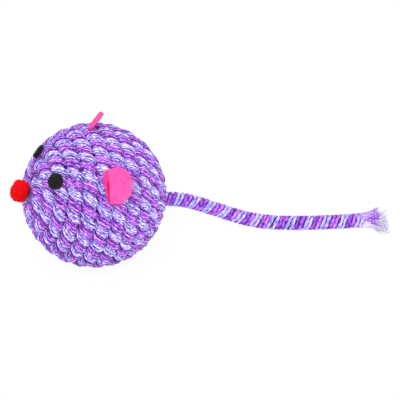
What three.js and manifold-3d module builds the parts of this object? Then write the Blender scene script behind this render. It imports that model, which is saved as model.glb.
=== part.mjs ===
// A catnip mouse: a ball wound with two-tone rope, felt eyes and ears, a pom-pom nose and a rope tail.
// Millimetres, +Z up. The nose points to -X and the tail lies to +X. The origin is where the ball rests.

import * as THREE from "three";
import { mergeVertices } from "three/addons/utils/BufferGeometryUtils.js";
import Module from "manifold-3d";

const wasm = await Module();
wasm.setup();

// Driving dimensions: the ball and its rope
const ballDiameter = 55; // over the outside of the wound rope
const ropeDiameter = 5;
const ropeSides = 6;
const turnSteps = 24; // straight steps in one turn of the winding
const turnGap = 0.6; // least clear space between neighbouring turns
const tightBend = 2.5 * ropeDiameter; // stretches nearer than this along the rope are one bend
const restingFlat = ropeDiameter / 10; // depth of the flat that the ball rests on
const nosePitch = THREE.MathUtils.degToRad(19); // how far the nose points up
const seatGap = 0.3; // between pieces that rest on each other
const bendHandle = 3.4; // how far the rope's end bends reach out of their turn
const bendRise = 2.6; // how far the same bends reach along the ball's axis
const bendSteps = 8;
const tailRise = 1.5; // how far the rope climbs above its turns where it leaves as the tail

// Driving dimensions: the hollow core and the catnip in it
const glueFilm = 0.7; // between the core and the rope
const coreWall = 2;
const lipHeight = 2.4;
const coreSides = 28;
const arcPairs = 4; // pairs of straight steps in a quarter of the core's outline
const ventCount = 6;
const ventDiameter = 2.6;
const ventSides = 8;
const ventPolar = THREE.MathUtils.degToRad(55); // from the nearer pole of the core
const fillRim = -3; // the catnip's edge, measured up from the centre of the ball
const fillCrown = 3; // the top of its heap, measured the same way

// Driving dimensions: the face
const outlineSteps = 6; // straight steps in each curve of an outline
const roundSides = 24; // of the small round pieces
const gluePlate = 0.4; // glue between the rope's crests and the piece stuck on it
const glueKey = 1.2; // how deep the glue runs into the grooves
const pompomDiameter = 8.6;
const pompomLength = 6.8;
const pompomRings = 10;
const pompomSink = 0.2; // how deep the pom-pom presses into the rope
const noseGlueDiameter = 4.6;
const eyeDiameter = 6.2;
const eyeThickness = 1.2;
const eyeBevel = 0.25;
const eyeGlueDiameter = 4.8;
const leftEyePolar = THREE.MathUtils.degToRad(37.5); // from the nose
const rightEyePolar = THREE.MathUtils.degToRad(33);
const leftEyeAzimuth = THREE.MathUtils.degToRad(30.4); // from the crown, to its own side
const rightEyeAzimuth = THREE.MathUtils.degToRad(42);

// Driving dimensions: the ears
const feltThickness = 1.4;
const earPolar = THREE.MathUtils.degToRad(72); // from the nose; the tab is placed from the groove nearest to it
const leftEarAzimuth = THREE.MathUtils.degToRad(39.3);
const rightEarAzimuth = THREE.MathUtils.degToRad(29.5);
const leftEarShift = 2.1; // how far behind the groove its tab is stuck
const rightEarShift = 2.65;
const leftEarTurn = THREE.MathUtils.degToRad(2); // how far the crease is turned from the run of the rope
const rightEarTurn = THREE.MathUtils.degToRad(-33);
const rightEarShare = 0.72; // its size over the left one's
const earLength = 9.5;
const earWidth = 14.2;
const creaseWidth = 13.2;
const widestAt = 4.2; // where the ear is widest, from its crease
const earShoulder = 0.62; // how far out its rounded end stays full, as a share of half its width
const earFullness = 0.83; // how far up its sides stay full, as a share of its length
const tabLength = 1.3;
const tabCorner = 0.7;
const foldSides = 12; // of the round fold at the crease
const earGlueMargin = 0.3; // how far the glue stays inside the tab's edge
const leftEarLean = THREE.MathUtils.degToRad(56); // back from straight up, in the rest pose
const rightEarLean = THREE.MathUtils.degToRad(43);

// Driving dimensions: the tail
const tailDiameter = 5.6;
const tailSides = 10;
const tailRootSteps = 5;
const tailTipSteps = 3;
const fraySides = 14;
const frayLength = 8.6;
const yarnFrayLength = 5;
const yarnFrayDiameter = 6.6;
const coreFrayDiameter = 5.4;
const fillerDiameter = 3.2; // the white filler inside the tail's yarn
const fraySpread = 1.3; // the frayed end is this much wider than it is thick

// The tail's route after its pivot: along X and Y from the pivot, then the height above the floor.
const tailRootRoute = [
  [3, -0.1, 14.4],
  [6, -0.45, 12.9],
  [9, -1.05, 11.4],
  [12, -1.8, 9.9],
  [15, -2.65, 8.5],
  [18, -3.55, 7.1],
  [21, -4.5, 5.8],
  [24, -5.5, 4.7],
  [27.5, -6.7, 3.8],
  [31, -7.9, 3.2],
  [34.5, -9.1, 3],
  [38, -10.2, 2.9],
  [42, -11.3, 2.9],
];
const tailTipRoute = [
  [46, -12.3, 2.9],
  [50, -13.2, 2.9],
  [54, -14.05, 2.9],
  [58, -14.8, 2.9],
  [62, -15.5, 2.9],
  [66, -16.2, 2.9],
  [69.5, -16.8, 2.9],
];

// Sizes that follow from these
const ballRadius = ballDiameter / 2;
const ropeRadius = ropeDiameter / 2;
const sideShare = Math.cos(Math.PI / ropeSides); // how near the rope's flats lie, over its corners
const ropeApothem = ropeRadius * sideShare;
const windRadius = ballRadius - ropeApothem;
const coreRadius = windRadius - ropeApothem - glueFilm;
const cavityRadius = coreRadius - coreWall;
const tailRadius = tailDiameter / 2;
const ballHeight = ballRadius - restingFlat;
const fullTurn = 2 * Math.PI;
const feltBase = seatGap + gluePlate + seatGap; // underside of the felt, above the rope's crests

// Materials
function felt(color) {
  return new THREE.MeshStandardMaterial({ color, roughness: 0.95, metalness: 0 });
}

const ropeYarn = new THREE.MeshStandardMaterial({ color: 0xa583ea, roughness: 0.8, metalness: 0 });
const corePlastic = new THREE.MeshStandardMaterial({ color: 0x3a1c66, roughness: 0.5, metalness: 0 });
const driedCatnip = new THREE.MeshStandardMaterial({ color: 0x7d8552, roughness: 1, metalness: 0 });
const hotMelt = new THREE.MeshStandardMaterial({ color: 0xe8e2cf, roughness: 0.35, metalness: 0 });
const whiteFiller = new THREE.MeshStandardMaterial({ color: 0xe6e0ef, roughness: 0.9, metalness: 0 });

// Booleans: a geometry becomes a solid, and a solid becomes a geometry
const weldDistance = 1e-5;

function solidOf(geometry) {
  const bare = geometry.clone();
  bare.deleteAttribute("normal");
  bare.deleteAttribute("uv");
  const merged = mergeVertices(bare, weldDistance);
  const vertProperties = new Float32Array(merged.attributes.position.array);
  const triVerts = new Uint32Array(merged.index.array);
  return new wasm.Manifold(new wasm.Mesh({ numProp: 3, vertProperties, triVerts }));
}

function geometryOf(solid) {
  const mesh = solid.getMesh();
  const geometry = new THREE.BufferGeometry();
  geometry.setAttribute("position", new THREE.Float32BufferAttribute(mesh.vertProperties, 3));
  geometry.setIndex(new THREE.Uint32BufferAttribute(mesh.triVerts, 1));
  geometry.computeVertexNormals();
  return geometry;
}

function cut(geometry, ...tools) {
  return geometryOf(tools.reduce((left, tool) => left.subtract(solidOf(tool)), solidOf(geometry)));
}

function join(first, second) {
  return geometryOf(solidOf(first).add(solidOf(second)));
}

// Scene groups: the ball is pitched as it rests, and the tail stays in the frame of the floor
const mouse = new THREE.Group();
const ball = new THREE.Group();
ball.position.set(0, 0, ballHeight);
ball.rotation.y = nosePitch;
ball.updateMatrix();
mouse.add(ball);

function addPart(group, name, geometry, material) {
  const part = new THREE.Mesh(geometry, material);
  part.name = name;
  group.add(part);
}

// A place on the ball: polar angle from the nose, azimuth from the crown, distance from the centre
function onBall(polar, azimuth, distance) {
  const off = distance * Math.sin(polar);
  const along = -distance * Math.cos(polar);
  return new THREE.Vector3(along, off * Math.sin(azimuth), off * Math.cos(azimuth));
}

// The frame of a piece stuck on the ball: X towards the tail, Z outwards, origin on the rope's crests
function seatOn(polar, azimuth) {
  const outwards = onBall(polar, azimuth, 1);
  const backwards = onBall(polar + Math.PI / 2, azimuth, 1);
  const across = new THREE.Vector3().crossVectors(outwards, backwards);
  const frame = new THREE.Matrix4().makeBasis(backwards, across, outwards);
  return frame.setPosition(outwards.clone().multiplyScalar(ballRadius));
}

// The rope's centreline: out of the core at the nose, turn by turn to the tail, and out along the axis
const turnPitch = ropeDiameter + turnGap;
const firstPolar = Math.asin(turnPitch / windRadius);
const turnCount = Math.floor(((Math.PI - 2 * firstPolar) * windRadius) / turnPitch);
const polarPerTurn = (Math.PI - 2 * firstPolar) / turnCount;
const lowestPolar = Math.PI / 2 + nosePitch;
const lowestTurn = (lowestPolar - firstPolar) / polarPerTurn; // a crest passes the lowest point here
const noseAxis = new THREE.Vector3(-1, 0, 0);
const tailAxis = new THREE.Vector3(1, 0, 0);
const tuckedStart = coreRadius; // where the front end has turned in along the axis
const tailStart = windRadius + tailRise; // where the rear end has turned out along the axis
const ropeEnd = tailStart + ropeDiameter;

function woundPoint(turn) {
  const azimuth = Math.PI - fullTurn * (turn - lowestTurn);
  return onBall(firstPolar + polarPerTurn * turn, azimuth, windRadius);
}

// The groove between two turns that is nearest to a polar angle, at one azimuth
function grooveNear(polar, azimuth) {
  const crest = lowestTurn + (Math.PI - azimuth) / fullTurn;
  const groove = crest + 1 / 2;
  const wanted = (polar - firstPolar) / polarPerTurn;
  return firstPolar + polarPerTurn * (groove + Math.round(wanted - groove));
}

function ropeLine() {
  const step = 1 / turnSteps;
  const turns = [];
  for (let turn = lowestTurn % step; turn <= turnCount; turn += step) {
    turns.push(woundPoint(turn));
  }
  const endBend = (from, inner, axis, target, side) => {
    const heading = from.clone().sub(inner).normalize().multiplyScalar(bendHandle).add(from);
    const end = axis.clone().multiplyScalar(target);
    const entry = axis.clone().multiplyScalar(target + side * bendRise);
    const bend = new THREE.CubicBezierCurve3(from, heading, entry, end);
    return bend.getSpacedPoints(bendSteps).slice(1);
  };
  const front = endBend(turns[0], turns[1], noseAxis, tuckedStart, 1);
  front.push(noseAxis.clone().multiplyScalar(tuckedStart - ropeDiameter));
  const rear = endBend(turns.at(-1), turns.at(-2), tailAxis, tailStart, -1);
  rear.push(tailAxis.clone().multiplyScalar(ropeEnd));
  return [...front.reverse(), ...turns, ...rear];
}

// A closed tube of straight steps along a line, whose sides keep facing the same way round it
function steppedTube(line, radius, sides, firstSide) {
  const positions = [];
  const index = [];
  let side = firstSide.clone();
  line.forEach((point, i) => {
    const before = line[Math.max(i - 1, 0)];
    const after = line[Math.min(i + 1, line.length - 1)];
    const heading = after.clone().sub(before).normalize();
    side = side.clone().addScaledVector(heading, -side.dot(heading)).normalize();
    const up = new THREE.Vector3().crossVectors(heading, side);
    for (let k = 0; k < sides; k += 1) {
      const angle = (fullTurn * k) / sides;
      const corner = point.clone();
      corner.addScaledVector(side, radius * Math.cos(angle));
      corner.addScaledVector(up, radius * Math.sin(angle));
      positions.push(corner.x, corner.y, corner.z);
    }
  });
  for (let i = 0; i + 1 < line.length; i += 1) {
    for (let k = 0; k < sides; k += 1) {
      const a = i * sides + k;
      const b = i * sides + ((k + 1) % sides);
      index.push(a, b, b + sides, a, b + sides, a + sides);
    }
  }
  const last = (line.length - 1) * sides;
  for (let k = 1; k + 1 < sides; k += 1) {
    index.push(0, k + 1, k);
    index.push(last, last + k, last + k + 1);
  }
  const geometry = new THREE.BufferGeometry();
  geometry.setAttribute("position", new THREE.Float32BufferAttribute(positions, 3));
  geometry.setIndex(index);
  return geometry;
}

// The least clear space between stretches of the rope that are further apart along it than a tight bend
function leastGap(line) {
  const along = [0];
  for (let i = 1; i < line.length; i += 1) {
    along.push(along[i - 1] + line[i].distanceTo(line[i - 1]));
  }
  let least = Infinity;
  for (let i = 0; i < line.length; i += 1) {
    for (let j = i + 1; j < line.length; j += 1) {
      if (along[j] - along[i] > tightBend) {
        least = Math.min(least, line[i].distanceTo(line[j]) - ropeDiameter);
      }
    }
  }
  return least;
}

const line = ropeLine();
console.log(`rope winding: ${turnCount} turns, least gap ${leastGap(line).toFixed(2)} mm`);
const firstSide = new THREE.Vector3(0, 0, 1);
const rope = steppedTube(line, ropeRadius, ropeSides, firstSide);
const clearRope = steppedTube(line, ropeRadius + seatGap / sideShare, ropeSides, firstSide);
const boreRadius = (ropeRadius + seatGap) / sideShare;
const frontBore = steppedTube(line.slice(0, bendSteps + 3), boreRadius, ropeSides, firstSide);
const rearBore = steppedTube(line.slice(-bendSteps - 3), boreRadius, ropeSides, firstSide);
const floorSlab = new THREE.BoxGeometry(ballDiameter, ballDiameter, ballRadius);
floorSlab.translate(0, 0, -ballRadius / 2);
floorSlab.applyMatrix4(ball.matrix.clone().invert());
addPart(ball, "rope_winding", cut(rope, floorSlab), ropeYarn);

// The hollow core: two halves, the front one with a tongue that fits inside the rear one
const lipThickness = (coreWall - seatGap) / 2;

function halfCore(profile, poleAxis, bore) {
  const shell = new THREE.LatheGeometry(profile, coreSides);
  shell.rotateZ(-Math.PI / 2);
  const vents = [];
  for (let k = 0; k < ventCount; k += 1) {
    const polar = poleAxis === noseAxis ? ventPolar : Math.PI - ventPolar;
    const outwards = onBall(polar, (fullTurn * k) / ventCount, 1);
    const drill = new THREE.CylinderGeometry(ventDiameter / 2, ventDiameter / 2, 2 * coreWall, ventSides);
    drill.applyQuaternion(new THREE.Quaternion().setFromUnitVectors(new THREE.Vector3(0, 1, 0), outwards));
    drill.translate(...outwards.multiplyScalar(coreRadius - coreWall / 2));
    vents.push(drill);
  }
  return cut(shell, ...vents, bore);
}

function arcPoints(radius, from, to) {
  return new THREE.Path().absarc(0, 0, radius, from, to, to < from).getPoints(arcPairs);
}

const tongueRadius = cavityRadius + lipThickness;
const frontProfile = [
  ...arcPoints(coreRadius, -Math.PI / 2, 0),
  new THREE.Vector2(tongueRadius, 0),
  new THREE.Vector2(tongueRadius, lipHeight),
  new THREE.Vector2(cavityRadius, lipHeight),
  ...arcPoints(cavityRadius, 0, -Math.PI / 2),
];
const rebateRadius = tongueRadius + seatGap;
const rebateDepth = lipHeight + seatGap;
const rearProfile = [
  ...arcPoints(cavityRadius, Math.PI / 2, Math.asin(rebateDepth / cavityRadius)),
  new THREE.Vector2(rebateRadius, rebateDepth),
  new THREE.Vector2(rebateRadius, seatGap),
  ...arcPoints(coreRadius, Math.asin(seatGap / coreRadius), Math.PI / 2),
];
[frontProfile, rearProfile].forEach((profile) => {
  profile[0].x = 0;
  profile.at(-1).x = 0;
});
addPart(ball, "core_front_half", halfCore(frontProfile, noseAxis, frontBore), corePlastic);
addPart(ball, "core_rear_half", halfCore(rearProfile, tailAxis, rearBore), corePlastic);

// The catnip: a loose heap that lies level in the bottom of the core
function catnipHeap() {
  const radius = cavityRadius - 2 * seatGap;
  const rimAngle = Math.asin(fillRim / radius);
  const rim = new THREE.Vector2(radius * Math.cos(rimAngle), fillRim);
  const heap = new THREE.QuadraticBezierCurve(
    rim,
    new THREE.Vector2(rim.x / 2, fillCrown),
    new THREE.Vector2(0, fillCrown),
  );
  const profile = [...arcPoints(radius, -Math.PI / 2, rimAngle), ...heap.getPoints(arcPairs).slice(1)];
  profile[0].x = 0;
  const geometry = new THREE.LatheGeometry(profile, coreSides);
  geometry.rotateX(Math.PI / 2);
  geometry.rotateY(-nosePitch);
  return geometry;
}

addPart(ball, "catnip_fill", catnipHeap(), driedCatnip);

// Glue under a piece on the ball: a plate over the crests, with keys in the grooves between the turns
function gluePad(outline, seat) {
  const depth = gluePlate + seatGap + glueKey;
  const block = { depth, bevelEnabled: false, curveSegments: outlineSteps };
  const pad = new THREE.ExtrudeGeometry(outline, block);
  pad.translate(0, 0, -glueKey);
  pad.applyMatrix4(seat);
  return cut(pad, clearRope);
}

function roundOutline(diameter) {
  return new THREE.Shape().absarc(0, 0, diameter / 2, 0, fullTurn);
}

// The nose: a pom-pom pressed against the rope at the front pole
const noseSeat = seatOn(0, 0);
const pompomProfile = [];
for (let k = 0; k <= pompomRings; k += 1) {
  const angle = (Math.PI * k) / pompomRings - Math.PI / 2;
  const height = (pompomLength / 2) * (1 + Math.sin(angle)) - pompomSink;
  pompomProfile.push(new THREE.Vector2((pompomDiameter / 2) * Math.cos(angle), height));
}
pompomProfile[0].x = 0;
pompomProfile.at(-1).x = 0;
const pompom = new THREE.LatheGeometry(pompomProfile, roundSides);
pompom.rotateX(Math.PI / 2);
pompom.applyMatrix4(noseSeat);
const noseGlue = gluePad(roundOutline(noseGlueDiameter), noseSeat);
const noseSocketRadius = noseGlueDiameter / 2 + seatGap;
const noseSocket = new THREE.CylinderGeometry(noseSocketRadius, noseSocketRadius, 2 * feltBase, roundSides);
noseSocket.rotateX(Math.PI / 2);
noseSocket.applyMatrix4(noseSeat);
addPart(ball, "nose_glue", noseGlue, hotMelt);
addPart(ball, "nose_pompom", cut(pompom, clearRope, noseSocket), felt(0xf01020));

// The eyes: felt discs with a soft rim
function addEye(name, polar, azimuth) {
  const seat = seatOn(polar, azimuth);
  const radius = eyeDiameter / 2;
  const profile = [
    new THREE.Vector2(0, feltBase),
    new THREE.Vector2(radius, feltBase),
    new THREE.Vector2(radius, feltBase + eyeThickness - eyeBevel),
    new THREE.Vector2(radius - eyeBevel, feltBase + eyeThickness),
    new THREE.Vector2(0, feltBase + eyeThickness),
  ];
  const disc = new THREE.LatheGeometry(profile, roundSides);
  disc.rotateX(Math.PI / 2);
  const group = new THREE.Group();
  group.applyMatrix4(seat);
  ball.add(group);
  addPart(ball, `${name}_glue`, gluePad(roundOutline(eyeGlueDiameter), seat), hotMelt);
  addPart(group, name, disc, felt(0x1c1a18));
}

addEye("eye_left", leftEyePolar, -leftEyeAzimuth);
addEye("eye_right", rightEyePolar, rightEyeAzimuth);

// The ears: a tab stuck down in front of the crease, and a D-shaped flap that turns about the crease
const creaseHeight = feltBase + feltThickness / 2;
const tabBack = -(feltThickness / 2 + seatGap);
const tabFront = tabBack - tabLength;

function tabOutline(share, margin) {
  const half = (share * creaseWidth) / 2 - margin;
  const front = tabFront + margin;
  const back = tabBack - margin;
  return new THREE.Shape()
    .moveTo(back, -half)
    .lineTo(back, half)
    .lineTo(front + tabCorner, half)
    .quadraticCurveTo(front, half, front, half - tabCorner)
    .lineTo(front, tabCorner - half)
    .quadraticCurveTo(front, -half, front + tabCorner, -half);
}

function flapOutline(share) {
  const half = (share * earWidth) / 2;
  const crease = (share * creaseWidth) / 2;
  const shoulder = half * earShoulder;
  const widest = share * widestAt;
  const length = share * earLength;
  const fullAt = length * earFullness;
  return new THREE.Shape()
    .moveTo(-crease, 0)
    .lineTo(crease, 0)
    .quadraticCurveTo(half, widest / 2, half, widest)
    .bezierCurveTo(half, fullAt, shoulder, length, 0, length)
    .bezierCurveTo(-shoulder, length, -half, fullAt, -half, widest)
    .quadraticCurveTo(-half, widest / 2, -crease, 0);
}

function addEar(name, { azimuth, shift, turn, lean, share }) {
  const tabMiddle = (tabFront + tabBack) / 2;
  const seat = seatOn(grooveNear(earPolar, azimuth) + shift / ballRadius, azimuth);
  seat.multiply(new THREE.Matrix4().makeRotationZ(turn));
  seat.multiply(new THREE.Matrix4().makeTranslation(-tabMiddle, 0, 0));
  const pink = felt(0xff5fbe);
  const group = new THREE.Group();
  group.applyMatrix4(seat);
  ball.add(group);
  const sheet = { depth: feltThickness, bevelEnabled: false, curveSegments: outlineSteps };
  const tab = new THREE.ExtrudeGeometry(tabOutline(share, 0), sheet);
  tab.translate(0, 0, feltBase);
  const plate = new THREE.ExtrudeGeometry(flapOutline(share), sheet);
  plate.translate(0, 0, -feltThickness / 2);
  plate.rotateX(Math.PI / 2);
  plate.rotateZ(Math.PI / 2);
  const root = new THREE.CylinderGeometry(feltThickness / 2, feltThickness / 2, share * creaseWidth, foldSides);
  const flap = new THREE.Group();
  flap.position.set(0, 0, creaseHeight);
  flap.rotation.y = lean;
  group.add(flap);
  addPart(ball, `${name}_glue`, gluePad(tabOutline(share, earGlueMargin), seat), hotMelt);
  addPart(group, `${name}_tab`, tab, pink);
  addPart(flap, `${name}_flap`, join(plate, root), pink);
}

addEar("ear_left", {
  azimuth: -leftEarAzimuth,
  shift: leftEarShift,
  turn: leftEarTurn,
  lean: leftEarLean,
  share: 1,
});
addEar("ear_right", {
  azimuth: rightEarAzimuth,
  shift: rightEarShift,
  turn: rightEarTurn,
  lean: rightEarLean,
  share: rightEarShare,
});

// The tail: two stretches of rope, each with a round head at the pivot that it turns about
const pivot = tailAxis.clone().multiplyScalar(ropeEnd + seatGap + tailRadius).applyMatrix4(ball.matrix);
const routePoint = ([x, y, height]) => new THREE.Vector3(pivot.x + x, pivot.y + y, height);
const rootRoute = new THREE.CatmullRomCurve3([pivot, ...tailRootRoute.map(routePoint)]);
const tipRoute = new THREE.CatmullRomCurve3([rootRoute.points.at(-1), ...tailTipRoute.map(routePoint)]);

function tailStretch(curve, steps, spare) {
  const corners = [];
  for (let k = 0; k < tailSides; k += 1) {
    const angle = (fullTurn * k) / tailSides;
    corners.push(new THREE.Vector2(tailRadius * Math.cos(angle), tailRadius * Math.sin(angle)));
  }
  const length = curve.getLength();
  const points = [];
  for (let k = 0; k <= steps; k += 1) {
    points.push(curve.getPointAt((k / steps) * (1 - spare / length)));
  }
  const extrudePath = new THREE.CatmullRomCurve3(points);
  const section = new THREE.Shape(corners);
  const tube = new THREE.ExtrudeGeometry(section, { steps, extrudePath, bevelEnabled: false });
  const head = new THREE.SphereGeometry(tailRadius, tailSides, tailSides / 2);
  head.translate(...points[0]);
  return join(tube, head);
}

addPart(mouse, "tail_root_stretch", tailStretch(rootRoute, tailRootSteps, tailRadius + seatGap), ropeYarn);
addPart(mouse, "tail_tip_stretch", tailStretch(tipRoute, tailTipSteps, 0), ropeYarn);

// The frayed end: a collar of loose yarn round the opened filler, spread flat on the floor
const fray = new THREE.Group();
const tailEnd = tipRoute.points.at(-1);
const endHeading = tipRoute.getTangent(1);
fray.position.copy(tailEnd);
fray.rotation.z = Math.atan2(endHeading.y, endHeading.x);
mouse.add(fray);

function frayed(profile) {
  const points = profile.map(([radius, along]) => new THREE.Vector2(radius, along));
  const geometry = new THREE.LatheGeometry(points, fraySides);
  geometry.rotateZ(-Math.PI / 2);
  geometry.scale(1, fraySpread, 1 / fraySpread);
  return geometry;
}

const fillerRadius = fillerDiameter / 2;
const yarnBore = fillerRadius + seatGap;
const yarnFlare = yarnFrayDiameter / 2;
const yarnFrayEnd = seatGap + yarnFrayLength;
const coreFlare = coreFrayDiameter / 2;
const frayEnd = seatGap + frayLength;
const yarnFray = frayed([
  [yarnBore, seatGap],
  [tailRadius, seatGap],
  [yarnFlare, yarnFrayEnd],
  [yarnBore, yarnFrayEnd],
  [yarnBore, seatGap],
]);
const coreFray = frayed([
  [0, seatGap],
  [fillerRadius, seatGap],
  [fillerRadius, yarnFrayEnd],
  [coreFlare, (yarnFrayEnd + 2 * frayEnd) / 3],
  [coreFlare / 2, frayEnd],
  [0, frayEnd],
]);
addPart(fray, "tail_frayed_yarn", yarnFray, ropeYarn);
addPart(fray, "tail_frayed_filler", coreFray, whiteFiller);

export default mouse;
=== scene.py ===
import random
from math import asin, cos, floor, pi, radians, sin, sqrt

import bmesh
import bpy
from mathutils import Color, Matrix, Vector, noise


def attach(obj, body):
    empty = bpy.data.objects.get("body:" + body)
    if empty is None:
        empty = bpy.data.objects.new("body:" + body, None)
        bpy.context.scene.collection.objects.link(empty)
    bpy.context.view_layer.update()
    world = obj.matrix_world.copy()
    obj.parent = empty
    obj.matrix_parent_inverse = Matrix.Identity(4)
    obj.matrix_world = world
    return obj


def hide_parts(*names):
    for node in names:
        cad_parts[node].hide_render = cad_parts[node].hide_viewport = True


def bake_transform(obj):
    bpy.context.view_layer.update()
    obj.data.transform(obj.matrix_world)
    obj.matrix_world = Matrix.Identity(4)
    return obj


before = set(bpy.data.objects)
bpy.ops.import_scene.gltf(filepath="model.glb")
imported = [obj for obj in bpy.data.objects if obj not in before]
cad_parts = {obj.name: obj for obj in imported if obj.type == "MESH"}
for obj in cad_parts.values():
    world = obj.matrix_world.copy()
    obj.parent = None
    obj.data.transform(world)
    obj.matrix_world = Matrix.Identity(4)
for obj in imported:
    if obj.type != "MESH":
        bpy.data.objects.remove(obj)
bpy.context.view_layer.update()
mm = 0.001
fullTurn = 2 * pi
print("frame loaded")


def newObject(name, data):
    made = bpy.data.objects.new(name, data)
    bpy.context.scene.collection.objects.link(made)
    return made


def clamped(value):
    return min(max(value, 0), 1)


def turnedBy(degrees, axis):
    return Matrix.Rotation(radians(degrees), 4, axis)


# The ball as it lies, with its nose to -X
ball = {
    "radius": 27.5 * mm,
    "ropeRadius": 2.5 * mm,
    "turnPitch": 5.6 * mm,
    "height": 27 * mm,
    "pitch": radians(19),
}
windRadius = ball["radius"] - ball["ropeRadius"] * cos(pi / 6)
ballCentre = Vector((0, 0, ball["height"]))
ballPlace = Matrix.Translation(ballCentre) @ Matrix.Rotation(ball["pitch"], 4, "Y")


# A place on the ball: polar angle from the nose, azimuth from the crown
def onBall(polar, azimuth, distance):
    off = distance * sin(polar)
    return Vector((-distance * cos(polar), off * sin(azimuth), off * cos(azimuth)))


# X towards the tail, Z outwards, origin on the crests of the rope
def seatOn(polar, azimuth):
    turn = Matrix.Rotation(-azimuth, 4, "X") @ Matrix.Rotation(polar - pi / 2, 4, "Y")
    return ballPlace @ turn @ Matrix.Translation((0, 0, ball["radius"]))


# The turns of the winding: where they begin and how far apart they lie
turns = {"first": asin(ball["turnPitch"] / windRadius)}
turns["reach"] = pi - 2 * turns["first"]
turns["count"] = floor(turns["reach"] * windRadius / ball["turnPitch"])
turns["apart"] = turns["reach"] / turns["count"]
turns["lowest"] = (pi / 2 + ball["pitch"] - turns["first"]) / turns["apart"]


# The groove between two turns that is nearest to a polar angle
def grooveNear(polar, azimuth):
    groove = turns["lowest"] + (pi - azimuth) / fullTurn + 0.5
    wanted = (polar - turns["first"]) / turns["apart"]
    return turns["first"] + turns["apart"] * (groove + floor(wanted - groove + 0.5))


# Camera: a long lens at the photograph's angle
view = {
    "azimuth": -14,
    "elevation": 48,
    "distance": 1.6,
    "nearest": 0.1,
    "sensor": 36,
    "frame": 400,
    "scale": 0.382 * mm,
    "ballAt": (93.9, 194.9),  # in the frame, from its upper left corner
}


def makeCamera():
    middle, scale, distance = view["frame"] / 2, view["scale"], view["distance"]
    turn = turnedBy(view["azimuth"], "Z") @ turnedBy(90 - view["elevation"], "X")
    off = ((middle - view["ballAt"][0]) * scale, (view["ballAt"][1] - middle) * scale, distance)
    data = bpy.data.cameras.new("photoCamera")
    data.sensor_width = view["sensor"]
    data.lens = view["sensor"] * distance / (view["frame"] * scale)
    data.clip_start = view["nearest"]
    camera = newObject("photoCamera", data)
    camera.matrix_world = Matrix.Translation(ballCentre) @ turn @ Matrix.Translation(off)
    bpy.context.scene.camera = camera


makeCamera()
print("camera made")


# A new node's outputs: what is capitalised or in wires feeds its inputs, and the rest are its settings
def addNode(tree, kind, wires=(), **given):
    node = tree.nodes.new(kind)
    wires = dict(wires)
    for name, value in given.items():
        if name[0].isupper():
            wires[name] = value
        else:
            setattr(node, name, value)
    for socket, source in wires.items():
        if isinstance(source, bpy.types.NodeSocket):
            tree.links.new(source, node.inputs[socket])
        else:
            node.inputs[socket].default_value = source
    return node.outputs


# The tree that the first output among some values is in
def treeOf(values):
    return next(value.id_data for value in values if isinstance(value, bpy.types.NodeSocket))


def calc(operation, *values):
    return addNode(treeOf(values), "ShaderNodeMath", enumerate(values), operation=operation)[0]


def vectorCalc(operation, *values):
    inputs = (0, 3) if operation == "SCALE" else (0, 1)
    made = addNode(treeOf(values), "ShaderNodeVectorMath", zip(inputs, values), operation=operation)
    return made["Value" if operation == "LENGTH" else "Vector"]


def combined(*values):
    return addNode(treeOf(values), "ShaderNodeCombineXYZ", enumerate(values))[0]


def noiseAt(place, scale, detail, distortion=0.0):
    return addNode(place.id_data, "ShaderNodeTexNoise", Vector=place, Scale=scale, Detail=detail,
                   Distortion=distortion)[0]


def named(tree, name, kind="FLOAT"):
    return addNode(tree, "GeometryNodeInputNamedAttribute", Name=name, data_type=kind)[0]


# A geometry after one more step
def changed(geometry, step, wires=(), **given):
    wires = {0: geometry, **dict(wires)}
    return addNode(geometry.id_data, "GeometryNode" + step, wires, **given)[0]


def store(geometry, name, value, kind="FLOAT"):
    return changed(geometry, "StoreNamedAttribute", Name=name, Value=value, data_type=kind, domain="POINT")


# Closed tubes along a line, with a ring as their section
def tubesAlong(line, ring, **given):
    return changed(line, "CurveToMesh", {"Profile Curve": ring, "Fill Caps": True}, **given)


def ringCurve(sides, radius):
    return addNode(sides.id_data, "GeometryNodeCurvePrimitiveCircle", Resolution=sides, Radius=radius,
                   mode="RADIUS")[0]


# A new node group, its sockets named by kind, and what its inputs give
def newTree(name, kind, outputs, inputs):
    tree = bpy.data.node_groups.new(name, kind)
    for way, sockets in (("OUTPUT", outputs), ("INPUT", inputs)):
        for socketKind, labels in sockets.items():
            for label in labels:
                tree.interface.new_socket(name=label, in_out=way, socket_type="NodeSocket" + socketKind)
    return tree, addNode(tree, "NodeGroupInput")


def newGeometryTree(name, **inputs):
    geometry = {"Geometry": ["Geometry"]}
    return newTree(name, "GeometryNodeTree", geometry, {**geometry, **inputs})


# Ends a tree with one smooth mesh, in one material or with another for the second lay of yarns
def endTree(geometry, first, second=None):
    tree = geometry.id_data
    geometry = changed(changed(geometry, "RealizeInstances"), "SetShadeSmooth")
    geometry = changed(geometry, "SetMaterial", Material=first)
    if second is not None:
        secondLay = calc("GREATER_THAN", named(tree, "lay"), 0.5)
        geometry = changed(geometry, "SetMaterial", Selection=secondLay, Material=second)
    addNode(tree, "NodeGroupOutput", Geometry=geometry)
    return tree


# Runs a tree on a source object and keeps the result as a plain mesh
def runTree(name, source, tree, values):
    modifier = source.modifiers.new("making", "NODES")
    modifier.node_group = tree
    for item in tree.interface.items_tree:
        if item.in_out == "INPUT" and item.name in values:
            modifier[item.identifier] = values[item.name]
    graph = bpy.context.evaluated_depsgraph_get()
    made = bpy.data.meshes.new_from_object(source.evaluated_get(graph), depsgraph=graph)
    bpy.data.objects.remove(source)
    made.name = name
    print(name, len(made.polygons), "faces")
    return newObject(name, made)


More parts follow.
